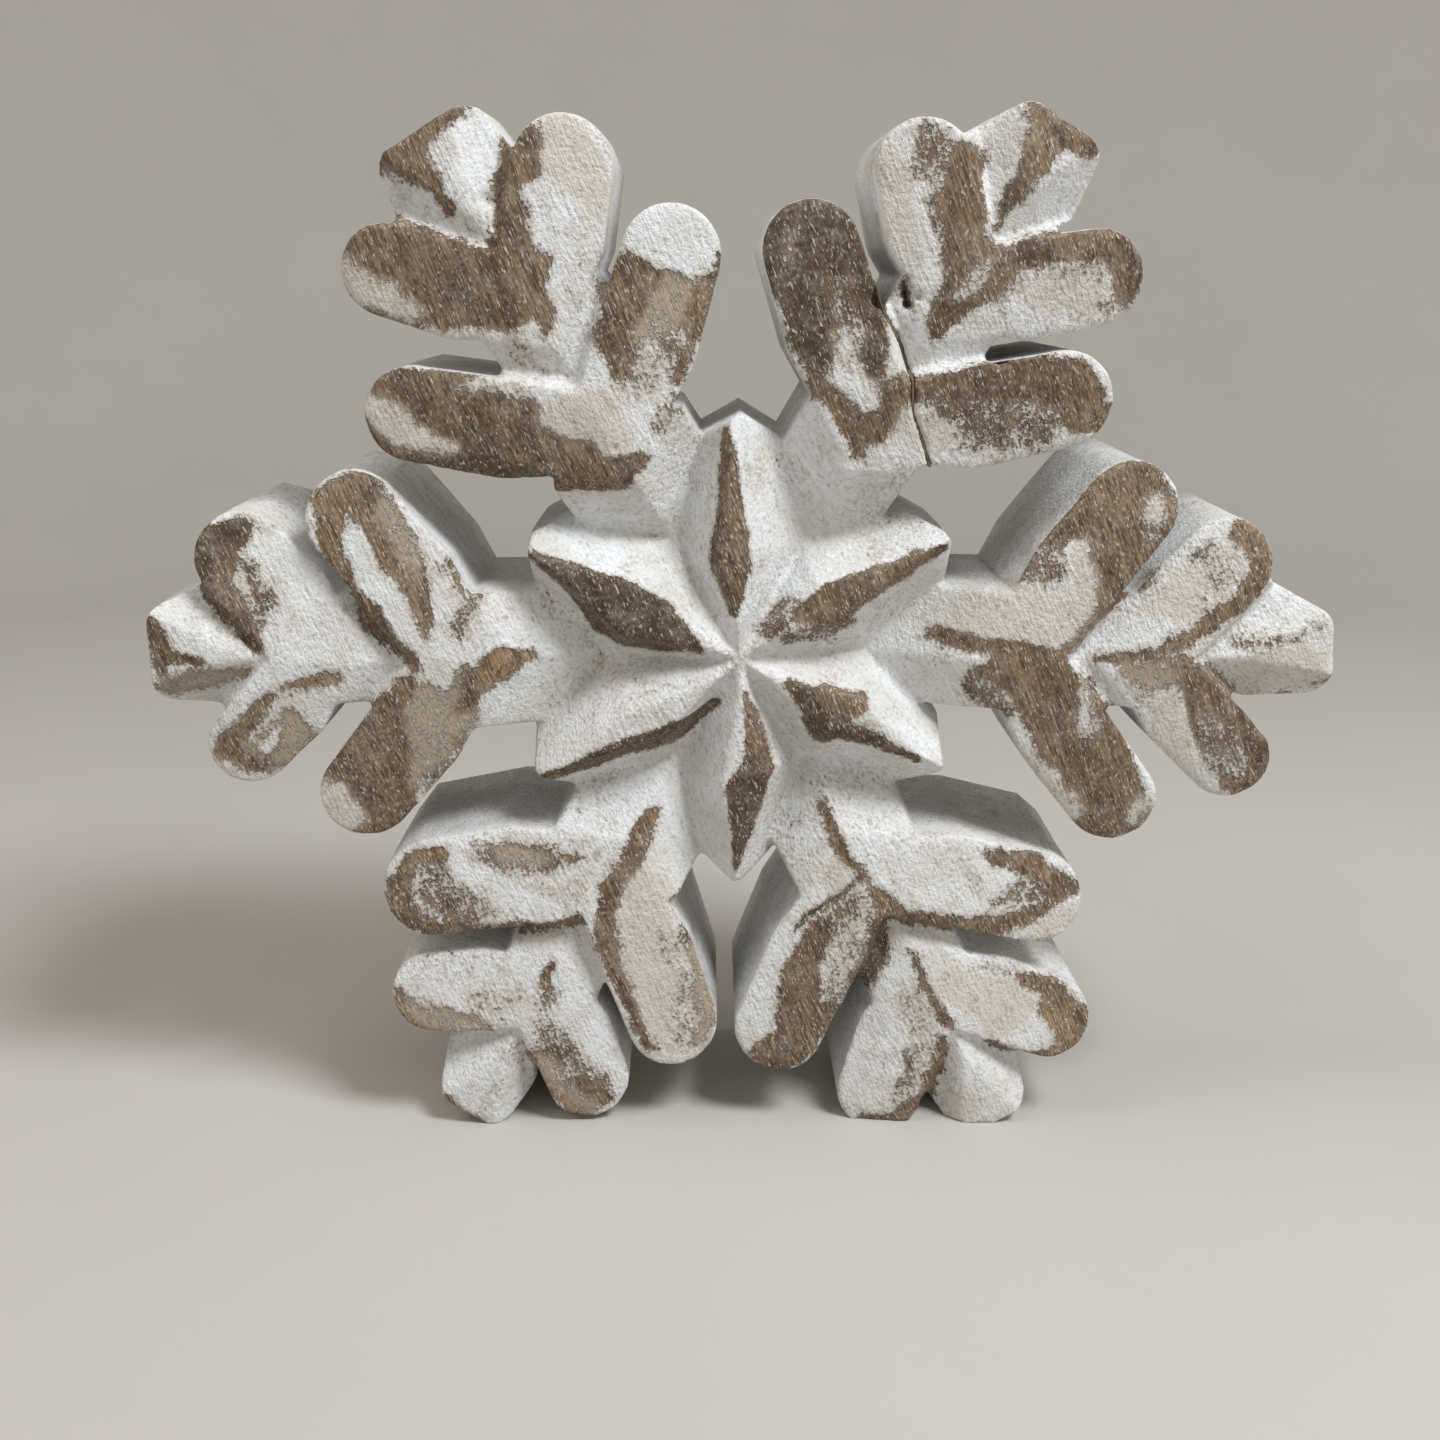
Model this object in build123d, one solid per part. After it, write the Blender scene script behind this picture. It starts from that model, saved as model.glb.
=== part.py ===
from build123d import *
import os
from collections import namedtuple

# A snowflake carved by hand from one thick sawn board, which stands on the ends of its two
# lower arms.  Six ridged rays make a star in the middle.  Between them six arms reach out, each
# with two pairs of petals and an end lobe.  One arm split along the grain and is glued back.
#
# Millimetres.  X runs to the right, Y away from the viewer and Z up.  The carved face looks
# along -Y.  An arm or ray is drawn pointing up, as if its heading were 0, and then turned
# clockwise to its heading.  On it, `across` runs to the right, `along` runs outwards from the
# star's centre, and `sink` runs back from the board's front face.

# --- driving dimensions ---------------------------------------------------------------------
THICKNESS = 30.0       # the board, front face to back face
FOOT_DROP = 65.6       # star centre down to the worn flats that the ornament stands on
STAR_ACROSS = -0.4     # star centre from the middle of the width, as the level arms differ
RAY_HALF_TURN = 30.0   # degrees from a ray to the groove beside it
RAY_REACH = 31.0       # star centre to a ray's point
RAY_SHOULDER = (5.5, 27.5)      # across, along: where a ray's side meets the arm beside it
RAY_POINT_RADIUS = 1.5
CENTRE_SINK = 1.0      # the star's centre
RAY_POINT_SINK = 1.0   # a ray's point
RAY_POINT_SHORT = 0.8  # the kite's outer point stops this much short of the ray's end
GROOVE_REACH = 16.5    # star centre to the outer end of the groove between two rays
GROOVE_SINK = 7.0      # that end, the lowest place of the star

CREST_RUN = 4.6        # from the crest of a root or neck to where the petals' centre lines meet
NECK_FOOT_SINK = 3.8   # the neck in the corner between the inner petals
LOBE_CREST = 0.2       # sink of the end lobe's worn top
LOBE_FLAT = 9.0        # the stretch of the lobe where that top widens to its corners
LOBE_FOOT_SINK = 1.4   # the lobe in the corner between the outer petals
LOBE_SIDE_SINK = 4.6   # the lobe at its sides
LOBE_BASE_RUN = 8.5    # from the corner between the outer petals to the lobe's widest place
LOBE_BASE_RADIUS = 2.5
ROOT_FULLNESS = 0.78   # a petal's radius where it leaves the spine, over its tip's
BELLY_FULLNESS = 1.05  # and at its belly
BELLY_PLACE = 0.55     # the belly's place along the petal, as a share of its length
INNER_EDGE_FULLNESS = 0.95      # a petal's half width beside the arm, over its tip's radius
STEP_RUN = 1.9         # the sloping step in front of a petal's outer edge: its width
STEP_SINK = 4.6        # and its foot
OVERLAP = 2.0          # how far the neck's block runs in under the petals at its ends
GLUE = 0.3             # glue film in the mended split

BACK = THICKNESS / 2
FRONT = -BACK
KNIFE = 220.0          # edge of the block that a carving cut takes away, larger than the board

# A petal's centre line leaves the arm's spine at `root` and ends at (across, along), the centre
# of its rounded tip.  `lean` is how far its face falls from the outer edge to the inner edge,
# and `dip` how far it falls from root to tip.
Petal = namedtuple("Petal", "root across along radius lean dip")
# An end lobe: the across and along of its two rounded corners, their radii, and its half widths
# where it leaves the petals.
Lobe = namedtuple("Lobe", "left right left_radius right_radius left_base right_base")
Arm = namedtuple("Arm", "heading root neck inner_left inner_right outer_left outer_right lobe")
# A ray's worn top is a long kite: half width and distance of its left and right corners, and
# how far to the right of the ray's middle its outer point lies.
Ray = namedtuple("Ray", "heading left left_along right right_along point")

RAYS = [
    Ray(0, 2.8, 14.0, 1.4, 13.0, -1.4),
    Ray(60, 3.6, 13.0, 1.6, 14.0, -0.2),
    Ray(120, 3.2, 16.0, 2.4, 14.0, -0.8),
    Ray(180, 3.6, 14.5, 2.2, 17.0, 0.4),
    Ray(240, 3.6, 13.0, 1.2, 16.0, -1.0),
    Ray(300, 4.4, 14.5, 2.4, 14.5, -1.6),
]

# Each arm is cut by eye, so no two are alike.  root and neck are half widths, left and right.
ARMS = [
    Arm(30, (9.0, 7.0), (6.8, 7.0),
        Petal(31.8, -18.0, 47.8, 5.9, 1.2, 0.4), Petal(32.3, 18.2, 48.2, 6.0, 1.8, 0.3),
        Petal(51.0, -11.2, 62.5, 5.8, 1.8, 0.3), Petal(51.0, 13.6, 62.4, 5.7, 1.6, 0.3),
        Lobe((-3.2, 72.9), (4.0, 72.5), 2.5, 2.7, 9.2, 7.6)),
    Arm(90, (8.7, 6.8), (8.4, 6.6),
        Petal(34.3, -19.6, 49.1, 5.7, 1.6, 0.2), Petal(34.5, 18.7, 48.9, 5.8, 1.4, 0.4),
        Petal(50.2, -12.6, 61.9, 5.5, 2.2, 0.4), Petal(50.8, 13.3, 64.0, 5.3, 1.5, 0.2),
        Lobe((-4.0, 72.6), (2.0, 73.2), 3.0, 3.0, 10.4, 5.6)),
    Arm(150, (8.6, 9.0), (6.3, 8.0),
        Petal(32.0, -18.2, 48.4, 6.0, 1.8, 0.3), Petal(32.0, 21.0, 47.8, 6.0, 1.5, 0.3),
        Petal(50.0, -11.7, 65.0, 5.6, 1.6, 0.4), Petal(50.5, 13.6, 63.0, 5.8, 1.6, 0.3),
        Lobe((-1.4, 71.9), (4.3, 71.3), 2.8, 3.4, 5.6, 8.2)),
    Arm(210, (9.5, 9.4), (7.2, 6.6),
        Petal(33.0, -18.0, 48.6, 6.0, 1.6, 0.3), Petal(32.2, 19.5, 47.5, 6.5, 1.8, 0.4),
        Petal(51.5, -12.0, 61.6, 5.6, 1.6, 0.3), Petal(52.3, 12.5, 60.9, 5.4, 1.6, 0.3),
        Lobe((-3.0, 71.5), (2.6, 70.9), 2.6, 3.0, 6.4, 7.0)),
    Arm(270, (9.4, 8.2), (6.2, 8.0),
        Petal(33.5, -18.0, 48.6, 6.0, 1.5, 0.3), Petal(34.0, 17.9, 48.4, 5.9, 1.6, 0.2),
        Petal(52.0, -11.6, 63.4, 5.2, 1.7, 0.3), Petal(51.5, 12.8, 62.7, 5.9, 2.2, 0.3),
        Lobe((-3.4, 72.4), (4.2, 72.2), 2.6, 3.0, 6.6, 9.4)),
    Arm(330, (9.5, 9.6), (7.5, 8.6),
        Petal(31.0, -19.7, 46.8, 5.9, 1.3, 0.6), Petal(30.8, 17.4, 47.3, 6.1, 1.4, 0.5),
        Petal(49.3, -13.2, 62.8, 5.5, 1.3, 0.5), Petal(48.8, 11.4, 62.5, 6.0, 1.5, 0.4),
        Lobe((-5.6, 71.5), (3.4, 71.2), 2.6, 3.2, 9.2, 7.2)),
]

# The split: it follows the grain from the notch beside the neck to the far side of the root.
SPLIT_HEADING = 30
SPLIT_LINE = [(-16, 55), (-9.0, 47.8), (-6.5, 45.6), (-3.0, 43.9), (0.3, 40.9),
              (2.6, 37.4), (5.4, 35.2), (8.6, 32.4), (11, 29)]
SPLIT_BEYOND = [(14.5, 33), (25.7, 43.5), (25.7, 90), (-30, 90)]    # round the loose end
SPLIT_OPENS = Vector(1, 1).normalized()     # across the split, towards the loose end


# --- tools ----------------------------------------------------------------------------------
def spot(across, along, sink):
    """A place on an arm or ray that points up."""
    return Vector(across, FRONT + sink, along)


def slab(outline, sink=0.0):
    """The board inside an outline, from its back to `sink` behind its front face."""
    return extrude(Plane.XZ.offset(-BACK) * outline, amount=THICKNESS - sink)


def carve(block, a, b, c):
    """Cut away all that stands in front of the plane through three places."""
    normal = (b - a).cross(c - a)
    if normal.Y > 0:
        normal = -normal
    waste = Box(KNIFE, KNIFE, KNIFE, align=(Align.CENTER, Align.CENTER, Align.MIN))
    return block - Plane(origin=a, z_dir=normal) * waste


def disc_hull(discs):
    """The outline stretched round a few discs, each (across, along, radius)."""
    return make_hull([(Pos(x, y) * Circle(r)).edge() for x, y, r in discs])


def turned(solid, heading):
    """Turn a piece that points up clockwise to its heading."""
    return Rotation(0, heading, 0) * solid


# --- the star -------------------------------------------------------------------------------
def make_ray(ray):
    groove_end = Vector(0, GROOVE_REACH).rotate(Axis.Z, -RAY_HALF_TURN)
    across, along = RAY_SHOULDER
    outline = Polygon((0, 0), (groove_end.X, groove_end.Y), (across, along), (0, RAY_REACH),
                      (-across, along), (-groove_end.X, groove_end.Y), align=None)
    outline = fillet(outline.vertices().sort_by(Axis.Y)[-1], RAY_POINT_RADIUS)
    solid = slab(outline)
    centre = spot(0, 0, CENTRE_SINK)
    point = spot(ray.point, RAY_REACH - RAY_POINT_SHORT, RAY_POINT_SINK)
    corners = [(-1, ray.left, ray.left_along), (1, ray.right, ray.right_along)]
    for side, half_width, distance in corners:
        corner = spot(side * half_width, distance, 0)
        groove = spot(side * groove_end.X, groove_end.Y, GROOVE_SINK)
        solid = carve(solid, centre, corner, groove)
        solid = carve(solid, corner, point, groove)
    return turned(solid, ray.heading)


# --- an arm ---------------------------------------------------------------------------------
def block_outline(halves, start, end):
    left, right = halves
    return Polygon((-left, start), (right, start), (right, end), (-left, end), align=None)


def petal_direction(petal):
    return Vector(petal.across, petal.along - petal.root).normalized()


def petal_outer_side(petal):
    """The direction across a petal, towards the end of the arm."""
    run = petal_direction(petal)
    outer = Vector(-run.Y, run.X)
    return outer if outer.Y > 0 else -outer


def petal_outline(petal):
    """A leaf on its own side of the spine: narrow root, slight belly and round tip."""
    root_radius = petal.radius * ROOT_FULLNESS
    root = petal_outer_side(petal) * (petal.radius - root_radius)
    belly_along = petal.root + (petal.along - petal.root) * BELLY_PLACE
    leaf = disc_hull([
        (root.X, petal.root + root.Y, root_radius),
        (petal.across * BELLY_PLACE, belly_along, petal.radius * BELLY_FULLNESS),
        (petal.across, petal.along, petal.radius),
    ])
    half_width = KNIFE / 2 if petal.across > 0 else -KNIFE / 2
    return leaf & Pos(half_width, 0) * Rectangle(KNIFE, KNIFE)


def face_spot(petal, across, along):
    """A place on a petal's face, which falls to its inner edge, and a little to its tip."""
    run = petal_direction(petal)
    inner = petal_outer_side(petal) * -1
    place = Vector(across, along - petal.root)
    length = Vector(petal.across, petal.along - petal.root).length
    sink = petal.lean * (0.5 + 0.5 * place.dot(inner) / petal.radius)
    return spot(across, along, sink + petal.dip * place.dot(run) / length)


def carve_faces(block, petals):
    """Carve a block down to the faces of a pair of petals, which meet in a low ridge."""
    for petal in petals:
        places = [(0, petal.root), (petal.across, petal.along), (0, petal.along)]
        block = carve(block, *[face_spot(petal, *place) for place in places])
    return block


def corner_along(left, right):
    """How far out the outer edges of a pair of petals meet on the spine."""
    reach = [p.root + p.radius / petal_outer_side(p).Y for p in (left, right)]
    return sum(reach) / 2


def make_petal(petal, pair, bed):
    """One petal of a pair, and the sloping step between its outer edge and the bed beyond."""
    outer = petal_outer_side(petal)
    edge = outer * petal.radius
    further = edge + petal_direction(petal) * petal.radius
    foot = outer * (petal.radius + STEP_RUN)
    leaf = carve_faces(slab(petal_outline(petal)), pair)
    step = carve(carve_faces(bed, pair),
                 spot(edge.X, petal.root + edge.Y, 0),
                 spot(further.X, petal.root + further.Y, 0),
                 spot(foot.X, petal.root + foot.Y, STEP_SINK))
    return [leaf, step]


def inner_edge_spot(petal, half_width):
    """A place on a petal's inner edge, half_width to the side of the spine."""
    share = half_width / abs(petal.across)
    inner = petal_outer_side(petal) * (-petal.radius * INNER_EDGE_FULLNESS)
    along = petal.root + share * (petal.along - petal.root)
    return face_spot(petal, share * petal.across + inner.X, along + inner.Y)


def make_roof(outline, pair, halves, crest, foot):
    """A ridged roof that rises from its foot, outwards along the spine, to a pair of petals."""
    roof = carve_faces(slab(outline), pair)
    for petal, half_width in zip(pair, halves):
        roof = carve(roof, face_spot(petal, 0, crest), foot, inner_edge_spot(petal, half_width))
    return roof


def make_root(arm):
    """The roof that rises from the groove between two rays to the inner petals."""
    pair = (arm.inner_left, arm.inner_right)
    meet = max(petal.root for petal in pair)
    outline = block_outline(arm.root, GROOVE_REACH / 2, meet)
    return make_roof(outline, pair, arm.root, meet - CREST_RUN,
                     spot(0, GROOVE_REACH, GROOVE_SINK))


def make_neck(arm, corner):
    """The short roof between the inner and the outer petals, and its plain bed."""
    pair = (arm.outer_left, arm.outer_right)
    start = max(arm.inner_left.root, arm.inner_right.root) + OVERLAP
    meet = max(petal.root for petal in pair)
    outline = block_outline(arm.neck, start, meet + OVERLAP)
    roof = make_roof(outline, pair, arm.neck, meet - CREST_RUN,
                     spot(0, corner, NECK_FOOT_SINK))
    return roof, slab(outline)


def make_lobe(lobe, corner):
    """The end lobe, a roof with a worn top that widens outwards, and its plain bed."""
    base_along = corner + LOBE_BASE_RUN
    outline = disc_hull([
        (0, corner, LOBE_BASE_RADIUS / 2),
        (-lobe.left_base + LOBE_BASE_RADIUS, base_along, LOBE_BASE_RADIUS),
        (lobe.right_base - LOBE_BASE_RADIUS, base_along, LOBE_BASE_RADIUS),
        (*lobe.left, lobe.left_radius),
        (*lobe.right, lobe.right_radius),
    ])
    middle = (lobe.left[0] + lobe.right[0]) / 2
    crest = spot(middle / 2, lobe.left[1] - LOBE_FLAT, LOBE_CREST)
    roof = slab(outline, LOBE_CREST)
    for across in (-lobe.left_base, lobe.right_base):
        roof = carve(roof, crest, spot(0, corner, LOBE_FOOT_SINK),
                     spot(across, base_along, LOBE_SIDE_SINK))
    return roof, slab(outline)


def make_arm(arm):
    inner_corner = corner_along(arm.inner_left, arm.inner_right)
    outer_corner = corner_along(arm.outer_left, arm.outer_right)
    neck, neck_bed = make_neck(arm, inner_corner)
    lobe, lobe_bed = make_lobe(arm.lobe, outer_corner)
    solids = [make_root(arm), neck, lobe]
    inner_pair = (arm.inner_left, arm.inner_right)
    outer_pair = (arm.outer_left, arm.outer_right)
    for pair, bed in ((inner_pair, neck_bed), (outer_pair, lobe_bed)):
        for petal in pair:
            solids += make_petal(petal, pair, bed)
    return turned(Part() + solids, arm.heading)


# --- the whole carving, then its mended split --------------------------------------------------
def make_carving():
    carving = Part() + [make_ray(ray) for ray in RAYS] + [make_arm(arm) for arm in ARMS]
    below = Pos(0, 0, -FOOT_DROP) * Box(KNIFE, KNIFE, KNIFE,
                                        align=(Align.CENTER, Align.CENTER, Align.MAX))
    return Pos(STAR_ACROSS, 0, FOOT_DROP) * (carving - below)


def split_region(shift):
    """Everything on the outer side of the split line, moved outwards by `shift`."""
    move = SPLIT_OPENS * shift
    points = [(across + move.X, along + move.Y) for across, along in SPLIT_LINE]
    outline = Polygon(*points, *SPLIT_BEYOND, align=None)
    block = extrude(Plane.XZ * outline, amount=THICKNESS, both=True)
    return Pos(STAR_ACROSS, 0, FOOT_DROP) * turned(block, SPLIT_HEADING)


def main():
    carving = make_carving()
    outer = split_region(0)
    outer_past_glue = split_region(GLUE)
    pieces = {
        "carved_snowflake": carving - outer,
        "glued_back_arm_end": carving & outer_past_glue,
        "glue_film": (carving & outer) - outer_past_glue,
    }
    os.makedirs("parts", exist_ok=True)
    for name, piece in pieces.items():
        piece.label = name
        export_step(piece, f"parts/{name}.step")
        box = piece.bounding_box()
        print(name, len(piece.solids()), round(piece.volume, 1), box.min, box.max)


main()
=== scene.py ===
import math

import bmesh
import bpy
import numpy as np
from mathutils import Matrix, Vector


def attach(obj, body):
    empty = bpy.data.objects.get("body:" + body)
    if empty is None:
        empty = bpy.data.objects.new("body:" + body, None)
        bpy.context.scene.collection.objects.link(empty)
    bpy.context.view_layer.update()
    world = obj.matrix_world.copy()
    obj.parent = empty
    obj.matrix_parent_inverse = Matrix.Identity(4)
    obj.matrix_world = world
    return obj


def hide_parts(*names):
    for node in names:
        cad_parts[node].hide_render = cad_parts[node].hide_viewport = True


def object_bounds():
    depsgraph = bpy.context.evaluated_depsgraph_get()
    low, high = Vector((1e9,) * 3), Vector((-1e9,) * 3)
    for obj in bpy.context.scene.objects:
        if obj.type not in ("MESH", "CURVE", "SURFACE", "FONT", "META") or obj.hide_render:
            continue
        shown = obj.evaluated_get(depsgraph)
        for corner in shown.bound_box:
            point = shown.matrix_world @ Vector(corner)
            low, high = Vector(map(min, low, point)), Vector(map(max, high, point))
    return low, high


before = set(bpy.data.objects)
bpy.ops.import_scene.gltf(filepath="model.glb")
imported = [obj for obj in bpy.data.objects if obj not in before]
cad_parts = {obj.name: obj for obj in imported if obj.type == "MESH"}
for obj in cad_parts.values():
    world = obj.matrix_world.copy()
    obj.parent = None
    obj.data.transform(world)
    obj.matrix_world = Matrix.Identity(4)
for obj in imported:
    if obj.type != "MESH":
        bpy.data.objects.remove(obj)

# A snowflake carved from one thick board, whitewashed, and rubbed back to the brown wood on its
# high faces.  Shapes, strokes and sizes below are in mm.  X runs right, Y back and Z up, and the
# carved face looks along -Y.  An arm's own measures are `across`, to its right when it points
# up, and `along`, outwards from the star's centre.

MM = 0.001
CAD_LOW, CAD_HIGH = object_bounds()
LOW, HIGH = np.array(CAD_LOW) / MM, np.array(CAD_HIGH) / MM
STAR = np.array([-0.4, LOW[1], 65.6])       # the star's centre on the board's front plane

VOXEL = 0.42         # net of the carved surface
FACES = 190_000   # triangles of the larger piece
SMALL_PIECE = 7                             # the smaller one has this many times fewer
EDGE_ROUNDS = 2        # passes that round the knife's edges
CROWN_ROUNDS = 100    # passes of the much smoother copy
CROWN = 0.28                                # share of that copy in a petal's face
CROWN_START = (26, 34)                      # distances from the centre over which that begins
PAINT = 0.12                                # thickness of the whitewash
THIN_PAINT = 0.12                           # how bare the sides, the back and the rest look
EDGE_LOSS = 0.05                            # rounding from which an edge begins to rub bare
EDGE_WEAR = 0.65                            # how bare it gets

# --- where the whitewash is rubbed away ------------------------------------------------------
# Each stroke is a chain of discs (across, along, radius), laid on in this order.  A kind says
# how bare the wood is, how cream the paint is or veiled the wood, and how dark the wood is.
KINDS = {
    "bare": (1.0, 0.3, 0.5),
    "dark": (1.0, 0.3, 1.0),
    "ochre": (0.9, 0.3, 0.0),
    "taupe": (0.66, 1.0, 0.5),
    "speckle": (0.52, 0.3, 0.6),
    "thin": (0.3, 0.5, 0.5),
    "cream": (0.06, 1.0, 0.3),
    "white": (0.0, 0.0, 0.5),
}

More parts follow.
